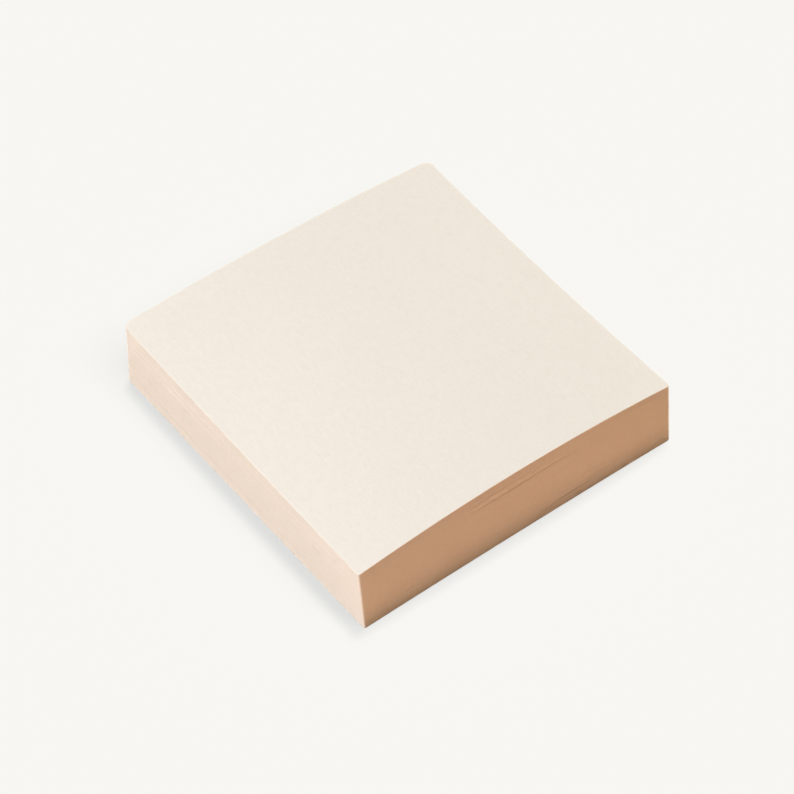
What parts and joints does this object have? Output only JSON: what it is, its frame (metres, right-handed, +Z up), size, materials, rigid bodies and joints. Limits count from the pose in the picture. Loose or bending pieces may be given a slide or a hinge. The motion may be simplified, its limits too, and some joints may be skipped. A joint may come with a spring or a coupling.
{
  "type": "sticky note pad",
  "caption": "Square pad of sticky notes: a thick block of plain paper sheets gummed along one edge, on a backing sheet, lying flat.",
  "frame": {"origin": "the middle of the backing sheet's underside, on the surface that the pad lies on", "axes": "+Z up, square to the sheets; +X along the gummed edge; +Y from the loose edge to the gummed edge"},
  "size_m": [0.076, 0.0769, 0.0169],
  "materials": {
    "note_paper": "matte",
    "backing_paper": "matte"
  },
  "bodies": {
    "root": {"note_block": "note_paper", "backing_sheet": "backing_paper"}
  },
  "joints": []
}
